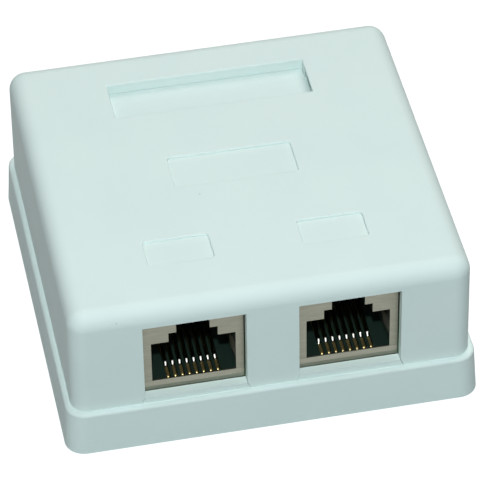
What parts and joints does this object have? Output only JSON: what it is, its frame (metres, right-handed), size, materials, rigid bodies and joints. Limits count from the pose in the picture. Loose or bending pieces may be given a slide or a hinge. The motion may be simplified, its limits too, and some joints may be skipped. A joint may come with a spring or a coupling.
{
  "type": "surface mount jack box",
  "caption": "Shallow square wall box with a base tray, a rounded cover, front sockets for modular plugs and a screened contact set on a circuit board.",
  "frame": {"origin": "middle of the base's back face, the face that lies on the wall", "axes": "+Z away from the wall towards the cover's roof, +X to the right seen from the sockets' side, sockets face -Y"},
  "size_m": [0.0602, 0.0598, 0.0244],
  "materials": {
    "base_abs": "moulded ABS, fine satin",
    "cover_abs": "moulded ABS, fine satin",
    "label_abs": "moulded ABS, fine satin",
    "shield_steel": "tinned sheet, dull",
    "housing_black": "moulded PBT",
    "carrier_black": "moulded PBT",
    "contact_gold": "gold-plated bronze wire",
    "clip_tin": "tin-plated bronze",
    "terminal_white": "moulded polycarbonate",
    "board_laminate": "green solder mask on glass laminate",
    "screw_steel": "zinc-plated"
  },
  "bodies": {
    "box_base": {"base": "base_abs", "circuit_board": "board_laminate", "jack_shield_left": "shield_steel", "jack_shield_right": "shield_steel", "jack_housing_left": "housing_black", "jack_housing_right": "housing_black", "contact_carrier_left": "carrier_black", "contact_carrier_right": "carrier_black", "terminal_block_left": "terminal_white", "terminal_block_right": "terminal_white", "contact_left_1": "contact_gold", "contact_left_2": "contact_gold", "contact_left_3": "contact_gold", "contact_left_4": "contact_gold", "contact_left_5": "contact_gold", "contact_left_6": "contact_gold", "contact_left_7": "contact_gold", "contact_left_8": "contact_gold", "contact_right_1": "contact_gold", "contact_right_2": "contact_gold", "contact_right_3": "contact_gold", "contact_right_4": "contact_gold", "contact_right_5": "contact_gold", "contact_right_6": "contact_gold", "contact_right_7": "contact_gold", "contact_right_8": "contact_gold", "terminal_clip_left_1": "clip_tin", "terminal_clip_left_2": "clip_tin", "terminal_clip_left_3": "clip_tin", "terminal_clip_left_4": "clip_tin", "terminal_clip_left_5": "clip_tin", "terminal_clip_left_6": "clip_tin", "terminal_clip_left_7": "clip_tin", "terminal_clip_left_8": "clip_tin", "terminal_clip_right_1": "clip_tin", "terminal_clip_right_2": "clip_tin", "terminal_clip_right_3": "clip_tin", "terminal_clip_right_4": "clip_tin", "terminal_clip_right_5": "clip_tin", "terminal_clip_right_6": "clip_tin", "terminal_clip_right_7": "clip_tin", "terminal_clip_right_8": "clip_tin"},
    "box_cover": {"cover": "cover_abs", "cover_screw": "screw_steel"},
    "box_label": {"label_plate": "label_abs"}
  },
  "joints": [
    {"name": "cover_lift", "type": "slide", "parent": "box_base", "child": "box_cover", "axis": [0, 0, 1], "range_m": [0, 0.03]},
    {"name": "label_lift", "type": "slide", "parent": "box_cover", "child": "box_label", "axis": [0, 0, 1], "range_m": [0, 0.006]}
  ]
}
